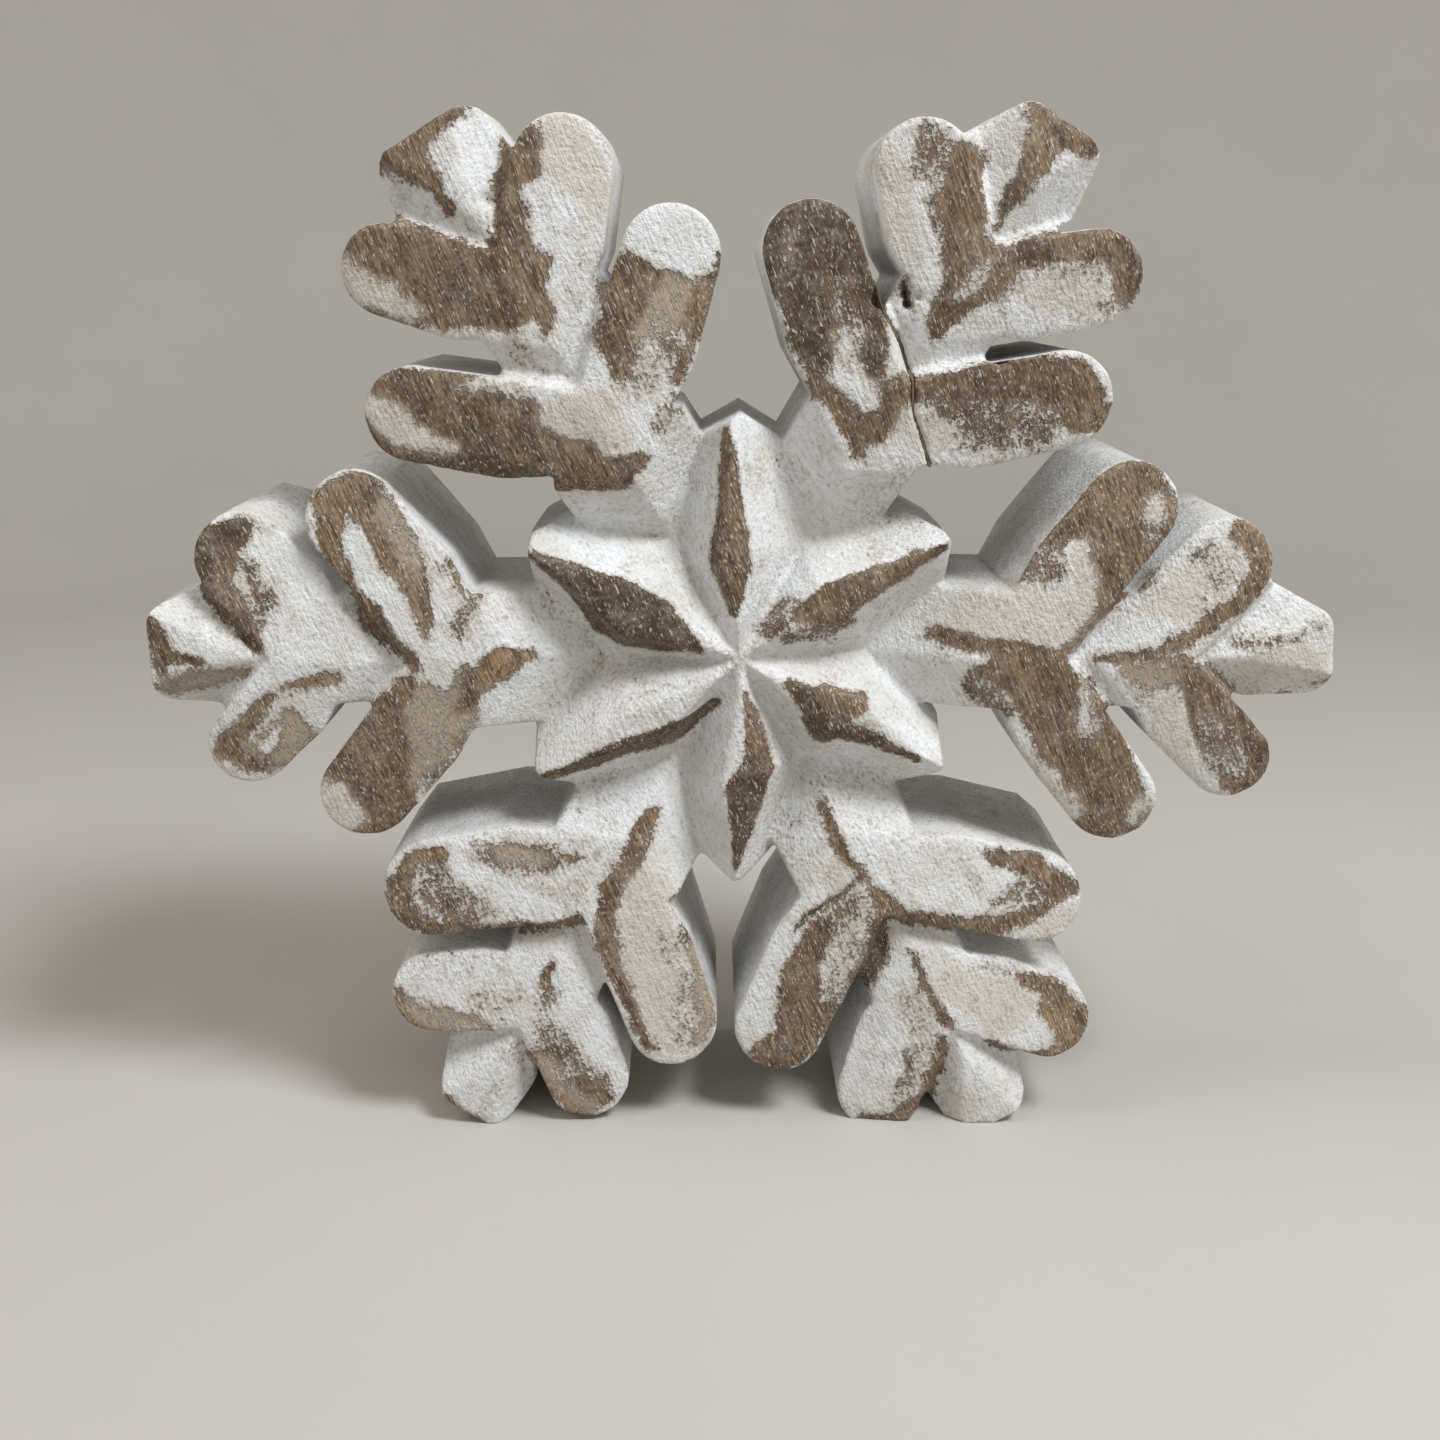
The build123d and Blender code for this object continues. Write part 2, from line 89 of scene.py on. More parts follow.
ARM_STROKES = {
    330: [
        ("bare", [(-3, 30, 2.5), (-10, 37, 5.5), (-17, 44.5, 6.5), (-20.5, 47.5, 5.5)]),
        ("dark", [(-22, 43, 1), (-15, 36, 1.2), (-8, 31, 1.5), (-1, 28, 1.5)]),
        ("bare", [(-8, 32, 2.5), (-2, 28, 1.5), (1.5, 28, 1)]),
        ("cream", [(0, 32, 2.0), (0, 35.5, 3.4)]),
        ("cream", [(0, 35.5, 2.8), (-5.5, 38, 0.9)]),
        ("thin", [(-13, 47, 0.7), (-7, 43, 1.4)]),
        ("cream", [(-23.6, 50.3, 1.9), (-21.6, 46.3, 2.2), (-18, 41.3, 1.0)]),
        ("bare", [(5, 38.5, 1.2), (8, 42, 3.6), (12, 44.5, 5.5), (16, 43, 4)]),
        ("taupe", [(11, 40.5, 1.8), (15, 42.5, 2.4), (17.5, 44, 1.6)]),
        ("speckle", [(8, 37.5, 1.8), (12, 38.5, 1.4)]),
        ("thin", [(7, 35.5, 1.8), (9.5, 38.5, 1.6)]),
        ("white", [(17.5, 49, 3.2), (20, 48, 4.4)]),
        ("bare", [(10, 34.5, 0.6), (19, 40.5, 0.5), (22.5, 45, 0.4)]),
        ("speckle", [(5, 30.5, 0.9), (8.5, 32, 1.3)]),
        ("bare", [(-2, 53, 4), (-8, 58, 5.5), (-13, 63, 6.2)]),
        ("cream", [(-17.8, 65.5, 1.8), (-16.2, 62, 2.2), (-13, 57.3, 1.3)]),
        ("bare", [(-3, 55, 3.5), (0, 50, 1.8), (0.3, 47, 0.6)]),
        ("bare", [(0, 55, 2), (4, 61, 2.6), (8, 66, 2.8), (9.5, 66.5, 2.2)]),
        ("white", [(5.2, 57.5, 1.9), (8, 61, 2.2)]),
        ("cream", [(13, 62, 3.6), (13.5, 66, 2.8), (13, 58, 2)]),
        ("bare", [(0.5, 53, 1.8), (3, 54, 1.5)]),
        ("bare", [(-7, 73.5, 1.7), (-1, 74, 1.9), (4, 74, 1.1)]),
        ("bare", [(-4, 72, 2.4), (-3, 68, 1.2), (-2.6, 64.5, 0.4)]),
        ("thin", [(-4, 48, 1.5), (-3, 44, 1)]),
    ],
    30: [
        ("dark", [(-3, 35, 3), (-10, 41, 5.5), (-17, 47, 6.4), (-18.5, 48.5, 6.4)]),
        ("speckle", [(-13, 46, 1.3), (-9, 42, 2.4)]),
        ("thin", [(-9.5, 41, 1.4), (-7, 38, 2.2)]),
        ("thin", [(-7.5, 36.8, 1.8), (-3.5, 36.6, 1.9)]),
        ("white", [(-7.8, 36.4, 0.5), (-3, 36.6, 0.8)]),
        ("thin", [(-21, 48.5, 0.4), (-20, 45.5, 0.6)]),
        ("bare", [(-9, 34, 1.0), (-4, 33, 1.3), (-1, 32, 1.3), (0, 29.5, 0.9)]),
        ("bare", [(0, 33, 1.4), (0.2, 36, 1.2), (0, 39.5, 1.2)]),
        ("bare", [(1, 39, 1.4), (6, 43, 2.2), (12, 47.3, 2.8), (18, 50, 3.4), (21, 48.5, 3.0)]),
        ("speckle", [(7, 38.5, 2.6), (12, 41.3, 3.6), (17, 43.8, 3.2)]),
        ("cream", [(3, 35.5, 1.9), (7, 36.5, 1.9)]),
        ("bare", [(-8, 66, 2), (-6, 62, 2.6), (-2.5, 57, 2.3), (-1, 54, 1.8)]),
        ("speckle", [(-12, 66, 2.4), (-11, 63, 2.4)]),
        ("speckle", [(-8.5, 60, 1.2), (-6, 57, 0.9)]),
        ("cream", [(-15, 61, 1.4), (-9, 55, 2)]),
        ("bare", [(3, 58, 1.8), (7, 63, 1.9), (12, 66, 2.1), (16, 65.8, 2.8), (18, 62.5, 1.6)]),
        ("thin", [(6, 57.5, 1.8), (13, 62, 2.2)]),
        ("cream", [(9, 57.5, 1.8), (14.5, 60.5, 1.6)]),
        ("speckle", [(15.5, 59.8, 0.8), (18, 60.5, 0.8)]),
        ("bare", [(0, 58, 1.5), (-1.7, 53, 1.3), (0, 49, 1.4), (0.5, 47, 0.8)]),
        ("bare", [(4, 57, 1.3), (2, 52, 1.1), (0.5, 48, 0.8)]),
        ("thin", [(0.6, 56, 0.8), (0.4, 53, 1.2)]),
        # the dents' crevices: bare wood, darkened as painted shade inside them
        ("dark", [(-6.3, 50.3, 0.1), (-4.4, 48.2, 0.3)]),
        ("bare", [(-3.5, 74, 1), (0.5, 74, 2.3), (4.5, 74, 1)]),
        ("bare", [(-0.8, 71, 2.2), (0, 67, 1.4), (-0.2, 61, 0.4)]),
    ],
    90: [
        ("bare", [(-6, 45, 2), (-13, 48, 4.8), (-19, 49, 5.6), (-22, 49, 4)]),
        ("bare", [(-21, 44.5, 2.3), (-15, 39, 1.3), (-10, 34, 0.7)]),
        ("speckle", [(-22, 52, 0.9), (-18, 52.3, 1.8), (-15, 51, 0.9)]),
        ("cream", [(-20.5, 52.4, 0.7), (-18, 51.5, 0.9)]),
        ("cream", [(-15, 42.4, 0.8), (-10, 43.4, 1.5), (-5, 43, 1.8)]),
        ("speckle", [(-14, 37.5, 1.3), (-12, 39, 1.9), (-10, 34, 0.7)]),
        ("cream", [(-4, 42, 2), (-6, 36, 3.4), (-5, 30, 3)]),
        ("bare", [(-9, 47.7, 1.2), (-4, 43.8, 0.7), (-2, 42, 0.6)]),
        ("bare", [(-1, 41, 0.7), (-1, 35, 1), (-1.5, 30, 1.2), (-2.5, 25, 1.0)]),
        ("bare", [(1, 41, 1), (5, 43, 3.3), (12, 46, 4.8), (20, 49.5, 4.4), (21.5, 48, 3.6)]),
        ("bare", [(1.5, 39, 1.8), (2.3, 34, 2.4), (2.6, 31, 1.4)]),
        ("bare", [(3, 37, 2.4), (8, 39, 2.5), (12, 41.5, 2.3)]),
        ("thin", [(4, 44.3, 1.0), (9, 45.2, 1.8)]),
        ("cream", [(20.5, 44.5, 1.1), (17, 41, 1.2), (13.5, 38, 0.8)]),
        ("cream", [(18.5, 53, 0.9), (22, 51.6, 0.8)]),
        ("speckle", [(4, 31, 1.8), (6.5, 34, 2.0)]),
        ("thin", [(-6, 57.5, 2.0), (-12, 61, 3.0)]),
        ("cream", [(-5, 54, 2.5), (-10, 57, 2)]),
        ("white", [(-3.2, 49, 2.2), (-3.2, 55, 1.8)]),
        ("bare", [(-2, 55, 0.7), (-4.5, 60, 0.9), (-8, 64, 1.3), (-12, 66, 1.4),
                  (-16, 65.3, 1.7), (-16.6, 62.5, 0.9)]),
        ("speckle", [(-14.3, 59.5, 0.6), (-12.5, 57.5, 0.5)]),
        ("bare", [(0.5, 56, 1.5), (4, 59, 2.6), (10, 64, 4.2), (15, 66, 3.6)]),
        ("speckle", [(8, 61, 1.8), (13, 63, 2.4), (15.5, 66, 1.4)]),
        ("cream", [(7, 55, 1.8), (13.5, 58.6, 1.5)]),
        ("bare", [(-0.5, 54, 0.8), (-0.5, 50, 0.9), (-0.5, 46, 0.4)]),
        ("taupe", [(1.2, 50, 1.2), (2.5, 54, 1.6)]),
        ("thin", [(5, 52, 1.3)]),
        ("cream", [(1, 73, 3), (2, 67, 3)]),
        ("speckle", [(-4.5, 74, 0.8), (-2.6, 70, 0.5), (-2.3, 63, 0.6)]),
        ("speckle", [(2, 76, 0.7), (5.5, 71, 0.4)]),
    ],
    150: [
        ("bare", [(-23.5, 50, 0.7), (-17, 50.2, 0.8), (-11.5, 49, 1.3), (-6, 45.8, 1.5),
                  (-2, 41.5, 1.3), (-0.6, 37, 0.8)]),
        ("bare", [(-21, 48.5, 1.6), (-19.5, 44, 1.7), (-16, 40.5, 1.0)]),
        ("speckle", [(-17.5, 47, 2), (-13, 46, 1)]),
        ("cream", [(-21, 52.5, 1.2), (-16, 53, 1.2)]),
        ("thin", [(-12, 43, 0.7), (-11.5, 37, 0.6)]),
        ("thin", [(3, 39, 2), (7, 43, 3.2), (11, 46.5, 2)]),
        ("speckle", [(3, 36.3, 1.5), (8, 38, 1.8)]),
        ("dark", [(1, 41, 0.9), (4, 44.5, 1.6), (8, 47.5, 1.5), (10.5, 48.8, 0.9)]),
        ("bare", [(14.5, 49, 2.2), (20, 50.8, 2.8), (24, 50.5, 2.0)]),
        ("bare", [(18, 47, 2.8), (14.5, 42, 2.4), (10, 38.5, 1.4)]),
        ("white", [(24.7, 46.5, 1.5), (21.7, 42.5, 1.5), (18.5, 39.5, 1.0)]),
        ("cream", [(2, 31, 1), (4, 33, 1)]),
        ("dark", [(0.6, 33.9, 0.2), (12, 35.8, 0.2)]),
        ("bare", [(0.2, 40, 0.6), (0.3, 34, 0.5), (0.6, 28, 0.7), (0.6, 23, 0.6)]),
        ("cream", [(-3, 54, 2.5), (-7, 60, 4)]),
        ("bare", [(-3.3, 63, 0.5), (-5.5, 67, 0.8), (-9, 70, 1.0), (-13, 70.3, 1.4),
                  (-15.6, 67, 1.4), (-14.5, 62, 1.3), (-11.5, 58, 0.9)]),
        ("ochre", [(-13, 68, 1.3), (-11.8, 63, 1.1)]),
        ("speckle", [(-10, 56, 0.7), (-7, 53, 0.4)]),
        ("thin", [(4, 53, 1.8), (4.5, 58, 1.8), (9, 64, 1.6)]),
        ("bare", [(2.5, 60, 0.5), (5, 64, 0.9), (9, 67, 1.3), (14, 67.6, 1.6), (17, 66, 1.2)]),
        ("speckle", [(7, 59, 0.8), (12, 64.5, 1.0)]),
        ("white", [(15, 62.5, 2.6), (10, 57, 2.2)]),
        ("bare", [(0.8, 58.5, 0.7), (0.8, 54, 0.7), (0.5, 50, 0.6), (0.3, 47, 0.3)]),
        ("cream", [(4.2, 70, 2.2)]),
    ],
    210: [
        ("cream", [(-5, 34, 3), (-11, 42, 4.5), (-17, 47, 4.5)]),
        ("thin", [(-20, 48.5, 2.8), (-17.5, 42, 2), (-11, 38, 1.5)]),
        ("taupe", [(-22.5, 48.5, 1.2), (-20.5, 43.5, 1.3), (-15, 38, 1.0)]),
        ("speckle", [(-13.5, 37, 1.2), (-9.5, 33.5, 0.9)]),
        ("bare", [(-17, 53.2, 0.5), (-12, 49.6, 0.8), (-6, 44.8, 1.1), (-2.8, 40, 1.5),
                  (-1.5, 35, 1.4), (-1.2, 28, 1.3), (-0.8, 24, 0.8)]),
        ("speckle", [(4, 32.5, 1.3), (8, 35.3, 2.6), (12, 37.7, 3.0), (16, 39.7, 2.1)]),
        ("taupe", [(9, 36.5, 1.0), (13, 38.3, 1.2)]),
        ("bare", [(1, 41.8, 1.1), (5, 45.3, 1.2), (9, 47.8, 0.8)]),
        ("thin", [(3, 38, 1.5), (8, 43, 1.5), (13, 46.5, 2)]),
        ("speckle", [(14, 48.6, 2.4), (18, 47.6, 3.2), (20.5, 45, 2.2)]),
        ("bare", [(11, 49.6, 0.9), (16, 52.3, 1.0), (21, 52.2, 1.5), (24, 49, 1.6), (24, 45.5, 1.0)]),
        ("ochre", [(20, 42.3, 0.6), (23.3, 44.3, 0.8)]),
        ("white", [(5.5, 42.5, 1.3), (11, 43.5, 1.4), (17, 41.8, 1.0)]),
        ("white", [(5, 32, 0.8), (13, 35, 1), (20, 38.5, 1.3), (24.5, 43, 0.8)]),
        ("speckle", [(-13, 61.5, 2.6), (-8, 60, 3.0), (-3, 57, 1.8)]),
        ("taupe", [(-14, 65.7, 1.5), (-9.5, 64.5, 1.6), (-4, 61.3, 0.9)]),
        ("ochre", [(-13, 66.6, 0.9), (-8, 65, 0.7), (-3.6, 61.8, 0.5)]),
        ("bare", [(-15.3, 63.3, 1.0), (-11.5, 61.7, 0.7)]),
        ("white", [(-11, 57.3, 0.9), (-4, 54.7, 0.7)]),
        ("speckle", [(-1.6, 55.5, 1.2), (-0.6, 52, 1.2)]),
        ("bare", [(0.1, 52, 0.5), (0.4, 49, 0.5)]),
        ("thin", [(2, 55.5, 1.4), (7, 58.5, 2.0)]),
        ("taupe", [(4, 61, 0.8), (9, 63.3, 1.6), (14.2, 64.4, 1.6)]),
        ("ochre", [(8, 65.2, 0.5), (13, 66, 0.5), (16.6, 63, 0.4)]),
        ("thin", [(-1.5, 73, 0.9), (-1.4, 67, 0.5)]),
        ("ochre", [(-3.5, 74, 0.4), (3.5, 73.3, 0.4)]),
    ],
    270: [
        ("taupe", [(-14, 41, 4.0), (-7, 38, 4.5), (-3, 36, 2)]),
        ("bare", [(-20, 47.5, 4.7), (-14, 47, 4.4), (-8, 45, 3), (-4, 43.5, 1.5)]),
        ("bare", [(-16, 52.8, 1.1), (-10, 49, 1.5), (-4, 43, 1.1)]),
        ("speckle", [(-17, 40, 1.4), (-11, 35, 1.5)]),
        ("bare", [(-6, 36, 1), (-2.8, 34, 1.8), (-0.3, 29, 1.2)]),
        ("cream", [(-22, 51, 1.7), (-17.5, 52.2, 1.4)]),
        ("bare", [(4, 39.5, 1.0), (9, 41, 2.2), (15, 44.5, 3), (19.5, 46.5, 2.8)]),
        ("bare", [(-1, 41.5, 1), (4, 45.3, 1.6), (9, 48.8, 1.5), (15, 51.5, 1.5), (20, 51.5, 2),
                  (21.5, 47, 1.9)]),
        ("taupe", [(12, 41, 1.2), (19, 44, 1.5)]),
        ("white", [(3.5, 41.5, 1.3), (8, 44.6, 1.7), (15, 48.6, 1.2)]),
        ("speckle", [(3, 35.5, 1.3), (8, 34, 1.8), (12, 36.5, 1.2)]),
        ("white", [(-2.5, 38, 1.3), (1, 36.5, 1.5), (3.5, 38.5, 0.8)]),
        ("white", [(7, 37.6, 1.5), (9.5, 38.2, 1.0)]),
        ("ochre", [(-2.7, 32.5, 1.2), (-1, 30, 1.6), (0.4, 27, 0.8)]),
        ("taupe", [(-12.7, 61, 2.8), (-9.5, 58, 2.9)]),
        ("bare", [(-14.3, 60, 0.6), (-14.6, 63, 0.9), (-12.5, 65.8, 1.5), (-9.5, 65, 1.3),
                  (-6.2, 61.5, 0.9), (-4.7, 59.5, 0.5)]),
        ("white", [(-12.2, 61.5, 0.7), (-10.2, 60, 0.7)]),
        ("white", [(-8.5, 53.5, 1.3), (-6, 56, 1.6)]),
        ("thin", [(-4, 58.5, 0.8), (-3, 54, 1.2), (-2.7, 51, 0.9)]),
        ("ochre", [(-3.4, 57.5, 0.4), (-3, 52, 0.6)]),
        ("speckle", [(5, 60.5, 1.1), (8, 60.5, 1.6), (12, 62, 1.0)]),
        ("bare", [(2, 61, 0.8), (6, 63.7, 0.8), (10, 65.5, 1.2), (15.5, 64, 1.8)]),
        ("dark", [(1.5, 61.3, 0.6), (6, 65.2, 1.2), (10, 67.8, 1.2), (15, 67, 1.9), (17, 63, 1.4)]),
        ("taupe", [(-3.5, 73, 2), (-3, 68, 1.6), (-1.5, 63, 0.6)]),
        ("bare", [(-1, 74.2, 0.9), (2, 73.6, 1.4), (4.5, 74.5, 0.8)]),
        ("bare", [(0.6, 73, 0.8), (-0.2, 67, 0.3)]),
    ],
}

# The star's six worn crests, with across to the right and along upwards.
STAR_STROKES = [
    ("bare", [(-0.8, 6, 0.5), (-1.2, 12, 2.4), (-1.2, 20, 1.6), (-1.5, 25, 1.0), (-1.6, 29, 0.4)]),
    ("speckle", [(3.5, 4, 1.3), (6.5, 6.5, 1.8)]),
    ("speckle", [(6, 3.2, 1.2), (11, 3.6, 1.4), (14, 5, 1.0)]),
    ("bare", [(8, 6, 1.2), (12, 7.6, 2.6), (17, 10, 1.9), (22, 12.5, 1.1), (25.5, 14, 0.6)]),
    ("dark", [(6.5, -3.2, 0.8), (11, -6.4, 2.7), (13, -8.5, 2.0), (18, -10.7, 0.9), (23, -13, 0.5)]),
    ("dark", [(9.5, -7.5, 1.2), (11, -9.8, 1.5)]),
    ("bare", [(11, -4.4, 1.3), (15, -5.8, 1.5)]),
    ("thin", [(15, -8, 0.5), (17.5, -9, 0.7)]),
    ("bare", [(1, -4.5, 0.3), (2.2, -10, 1.4), (2.7, -14, 1.9)]),
    ("dark", [(2.2, -14, 1.6), (0.9, -17.5, 2.5), (0.6, -22, 1.6), (0, -28, 0.4)]),
    ("dark", [(-3, -6, 0.5), (-8, -9.6, 1.6), (-15, -12, 1.2), (-20, -14, 1.1), (-25, -16, 0.8)]),
    ("dark", [(-5, 1, 0.5), (-11, 5, 3.3), (-16, 7, 3.8), (-21, 10.5, 1.9), (-26, 13.2, 0.6)]),
    ("dark", [(-8, 2.2, 1.6), (-14, 3.6, 2.6), (-17, 5, 2.6)]),
]
STROKE_SOFT = 1.2       # how gently a stroke fades at its edge
STAR_SOFT = 0.6         # and on the star's crests
STROKE_SWAY = 0.8       # how far its edge wanders
STAR_SWAY = 0.4         # share of that on the star
ARM_SECTOR = 30.5       # degrees to each side of an arm that its strokes may reach
ARM_START = (20, 23)    # the arms' strokes fade in between these distances from the centre
STAR_END = (30, 31.5)   # and the star's strokes fade out between these

# The split across the upper right arm, which keeps its sharp edges.
SPLIT_HEADING = 30
SPLIT_LINE = [(-16, 55, 0), (-9, 47.8, 0), (-6.5, 45.6, 0), (-3, 43.9, 0), (0.3, 40.9, 0),
              (2.6, 37.4, 0), (5.4, 35.2, 0), (8.6, 32.4, 0), (11, 29, 0)]
SPLIT_KEPT_SHARP = (0.3, 1.0)       # distances from the split over which edges begin to be rounded
SPLIT_UNCROWNED = (0.5, 3.0)        # and over which the petals begin to be crowned

# --- small damage: heading, across, along, radius and depth ----------------------------------
DENTS = [
    (30, -8.2, 46.8, 0.9, 1.6),
    (30, -6.3, 50.2, 0.45, 1.6),
    (30, -5.4, 49.3, 0.5, 2.6),
    (30, -4.6, 48.3, 0.5, 2.6),
    (30, -3.9, 49.6, 0.4, 1.2),
    (30, 8.4, 48.6, 1.0, 2.2),
    (330, 1.6, 63.6, 0.8, 1.0),
    (270, 6.8, 49.3, 0.9, 1.0),
    (270, 8.6, 49.7, 0.6, 0.8),
    (330, -0.1, 31.0, 0.3, 0.5),
    (210, 10.2, 48.6, 0.7, 0.7),
    (150, 14.0, 53.0, 0.6, 0.6),
    (30, 2.0, 75.2, 0.8, 0.5),
]
TOOL_LINE = (150, (0.6, 33.9), (12.0, 35.8), 0.35, 0.3)     # heading, ends, half width and depth


# --- numbers on many points at once ------------------------------------------------------------
LATTICE_SIZE = 64
LATTICE = np.random.default_rng(20).random((LATTICE_SIZE,) * 3) * 2 - 1


def noise(points, size):
    """Smooth noise from -1 to 1 that changes over about `size`, which may differ by axis."""
    at = points / np.array(size)
    cell = np.floor(at).astype(int)
    part = at - cell
    part = part * part * (3 - 2 * part)
    total = np.zeros(len(points))
    for corner in np.ndindex(2, 2, 2):
        weight = np.prod(np.where(corner, part, 1 - part), axis=1)
        i, j, k = ((cell + corner) % LATTICE_SIZE).T
        total += weight * LATTICE[i, j, k]
    return total


def ramp(value, low, high):
    """0 below `low`, 1 above `high`, and smooth between them."""
    share = np.clip((value - low) / (high - low), 0, 1)
    return share * share * (3 - 2 * share)


def on_arm(points, heading):
    """The across and along of points in the row frame, on the arm with that heading."""
    turn = math.radians(heading)
    x, z = points[:, 0] - STAR[0], points[:, 2] - STAR[2]
    across = x * math.cos(turn) - z * math.sin(turn)
    along = x * math.sin(turn) + z * math.cos(turn)
    return np.stack([across, along], axis=1)


def chain_distance(places, discs):
    """How far outside a chain of discs each place is, and below 0 inside it."""
    discs = np.array(discs, float)
    if len(discs) == 1:
        discs = np.repeat(discs, 2, axis=0)
    nearest = np.full(len(places), np.inf)
    for start, end in zip(discs[:-1], discs[1:]):
        run = end[:2] - start[:2]
        share = np.clip((places - start[:2]) @ run / max(run @ run, 1e-9), 0, 1)
        gap = np.linalg.norm(places - start[:2] - share[:, None] * run, axis=1)
        nearest = np.minimum(nearest, gap - start[2] - share * (end[2] - start[2]))
    return nearest


def lay_strokes(wear, places, strokes, share, soft):
    """Turns the wear under each stroke, one after another, towards that stroke's kind."""
    for kind, discs in strokes:
        cover = ramp(-chain_distance(places, discs), -soft, soft) * share
        wear += cover[:, None] * (np.array(KINDS[kind]) - wear)


def worn(points, facing):
    """Bareness, creaminess and darkness at each point."""
    wear = np.zeros((len(points), 3))
    wear[:, 1] = 0.3 + 0.3 * noise(points, 9.0)
    wear[:, 0] = THIN_PAINT * (1 - 0.6 * facing) + 0.13 * noise(points, 6.0)
    wear[:, 2] = 0.5
    front = np.flatnonzero(facing > 0.02)
    seen = points[front]
    rubbed = wear[front]
    sway = np.stack([noise(seen + 31, 3.5), noise(seen + 57, 3.5)], axis=1)
    sway += 0.4 * np.stack([noise(seen + 11, 1.1), noise(seen + 73, 1.1)], axis=1)
    sway *= STROKE_SWAY
    reach = np.hypot(seen[:, 0] - STAR[0], seen[:, 2] - STAR[2])
    for heading, strokes in ARM_STROKES.items():
        places = on_arm(seen, heading)
        half_width = places[:, 1] * math.tan(math.radians(ARM_SECTOR)) + 1
        mine = (np.abs(places[:, 0]) < half_width).astype(float) * ramp(reach, *ARM_START)
        lay_strokes(rubbed, places + sway, strokes, mine, STROKE_SOFT)
    star = 1 - ramp(reach, *STAR_END)
    lay_strokes(rubbed, on_arm(seen, 0) + sway * STAR_SWAY, STAR_STROKES, star, STAR_SOFT)
    rubbed[:, 0] *= ramp(facing[front], 0.05, 0.5)
    wear[front] = rubbed
    return wear


# --- the carved surface ------------------------------------------------------------------------
def fine_net(node):
    """The CAD node's shape as a closed net of small even faces."""
    shape = node.data.copy()
    shape.materials.clear()
    net = bmesh.new()
    net.from_mesh(shape)
    bmesh.ops.remove_doubles(net, verts=net.verts, dist=1e-6)
    net.to_mesh(shape)
    net.free()
    piece = bpy.data.objects.new(node.name + "_wood", shape)
    bpy.context.scene.collection.objects.link(piece)
    remesh = piece.modifiers.new("net", "REMESH")
    remesh.mode = "VOXEL"
    remesh.voxel_size = VOXEL * MM
    apply_modifiers(piece)
    return piece


def apply_modifiers(piece):
    """Keeps what the modifiers make of a piece, and drops the modifiers."""
    ready = piece.evaluated_get(bpy.context.evaluated_depsgraph_get())
    shape = bpy.data.meshes.new_from_object(ready)
    piece.modifiers.clear()
    piece.data = shape


def read(shape, what, field, width, number=np.float32):
    """One row of `width` numbers for each point or edge of a mesh."""
    numbers = np.zeros(len(getattr(shape, what)) * width, number)
    getattr(shape, what).foreach_get(field, numbers)
    return numbers.reshape(-1, width)


def relaxed(points, edges, rounds, share=0.5):
    """The points after each has moved a share of the way to the middle of its neighbours."""
    one, other = edges.T
    count = np.bincount(edges.ravel(), minlength=len(points))
    for _ in range(rounds):
        middle = np.stack([
            np.bincount(one, points[other, k], len(points)) + np.bincount(other, points[one, k], len(points))
            for k in range(3)
        ], axis=1) / count[:, None]
        points = points + share * (middle - points)
    return points


def set_points(shape, points):
    """Moves a mesh's points to places given in mm."""
    shape.vertices.foreach_set("co", (points * MM).astype(np.float32).ravel())
    shape.update()


def dent(sink, points, facing):
    """Adds how far back small damage and the tool line push the carved face at each point."""
    for heading, across, along, radius, depth in DENTS:
        gap = np.linalg.norm(on_arm(points, heading) - (across, along), axis=1)
        sink += facing * depth * np.exp(-(gap / radius) ** 2)
    heading, start, end, half_width, depth = TOOL_LINE
    gap = chain_distance(on_arm(points, heading), [(*start, 0), (*end, 0)])
    sink += facing * depth * np.exp(-(gap / half_width) ** 2)


